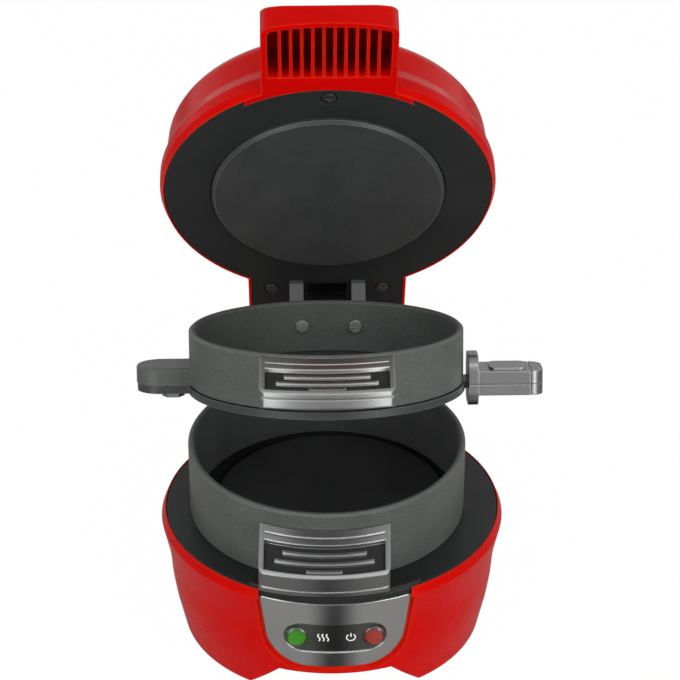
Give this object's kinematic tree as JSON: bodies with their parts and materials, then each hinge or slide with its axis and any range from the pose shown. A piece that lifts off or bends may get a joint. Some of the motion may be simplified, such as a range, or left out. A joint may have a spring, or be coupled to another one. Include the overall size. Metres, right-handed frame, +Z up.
{
  "type": "breakfast sandwich maker",
  "caption": "Round hinged cooker: red base and domed lid with heated plates, stacked rings with a swinging egg plate between them, front grips and two indicator lights.",
  "frame": {"origin": "bottom centre of the whole object's bounding box, on the table top", "axes": "+Z up, -Y to the front (grips and control panel), +X to the user's right"},
  "size_m": [0.1647, 0.1934, 0.2649],
  "materials": {
    "red_gloss": "glossy moulded red plastic",
    "deck_black": "satin charcoal heat-resistant plastic",
    "coated_plate": "cast aluminium, dark non-stick coating",
    "coated_ring": "aluminium, speckled dark grey non-stick coating",
    "grip_grey": "dark metallic grey moulded plastic, satin gloss",
    "panel_grey": "metallic grey moulded plastic",
    "green_lens": "translucent green lens, lit",
    "red_lens": "translucent red lens, unlit",
    "lamp_glass": "clear glass neon lamp",
    "hinge_dark": "dark grey glass-filled plastic",
    "steel": "zinc-plated steel",
    "dark_screw": "blackened steel",
    "heater_steel": "heat-tinted steel sheath",
    "shield_alu": "thin bright aluminium sheet",
    "ceramic": "white steatite",
    "rubber": "soft black rubber",
    "cover_black": "black moulded plastic, fine grain"
  },
  "bodies": {
    "base": {"base_shell": "red_gloss", "base_deck": "deck_black", "lower_heating_plate": "coated_plate", "lower_heating_element": "heater_steel", "base_heat_shield": "shield_alu", "thermostat": "ceramic", "thermal_fuse": "steel", "terminal_block": "ceramic", "control_panel": "panel_grey", "green_lens": "green_lens", "red_lens": "red_lens", "indicator_lamps": "lamp_glass", "bottom_cover": "cover_black", "rubber_feet": "rubber", "bottom_screws": "steel", "hinge_bracket": "hinge_dark", "bracket_screws": "steel", "hinge_pin": "steel", "pin_clips": "steel", "cord_gland": "cover_black"},
    "lower_ring": {"lower_ring": "coated_ring", "lower_ring_grip": "grip_grey", "lower_grip_screws": "steel", "lower_hinge_arm": "hinge_dark", "lower_arm_rivets": "steel"},
    "upper_ring": {"upper_ring": "coated_ring", "upper_ring_grip": "grip_grey", "upper_grip_screws": "steel", "upper_hinge_arm": "hinge_dark", "upper_arm_rivets": "steel", "pivot_stud": "steel", "pivot_washer": "steel", "pivot_nut": "dark_screw"},
    "egg_plate": {"egg_plate": "coated_plate", "plate_handle_top": "grip_grey", "plate_handle_bottom": "grip_grey", "plate_handle_screw": "steel"},
    "lid": {"lid_shell": "red_gloss", "lid_liner": "deck_black", "liner_screws": "dark_screw", "upper_heating_plate": "coated_plate", "upper_heating_element": "heater_steel", "lid_heat_shield": "shield_alu", "lid_hinge_arm_left": "hinge_dark", "lid_hinge_arm_right": "hinge_dark"}
  },
  "joints": [
    {"name": "lower_ring_hinge", "type": "hinge", "parent": "base", "child": "lower_ring", "pos_m": [-0.00335, 0.05425, 0.0903], "axis": [-1, 0, 0], "range_deg": [0, 30]},
    {"name": "upper_ring_hinge", "type": "hinge", "parent": "lower_ring", "child": "upper_ring", "pos_m": [-0.00335, 0.05425, 0.0903], "axis": [-1, 0, 0], "range_deg": [-17.74, 7.26]},
    {"name": "lid_hinge", "type": "hinge", "parent": "upper_ring", "child": "lid", "pos_m": [-0.00335, 0.05425, 0.0903], "axis": [-1, 0, 0], "range_deg": [-46.82, 8]},
    {"name": "egg_plate_swing", "type": "hinge", "parent": "upper_ring", "child": "egg_plate", "pos_m": [-0.06765, -0.01724, 0.1097], "axis": [0, -0.3047, -0.9524], "range_deg": [0, 90]}
  ]
}
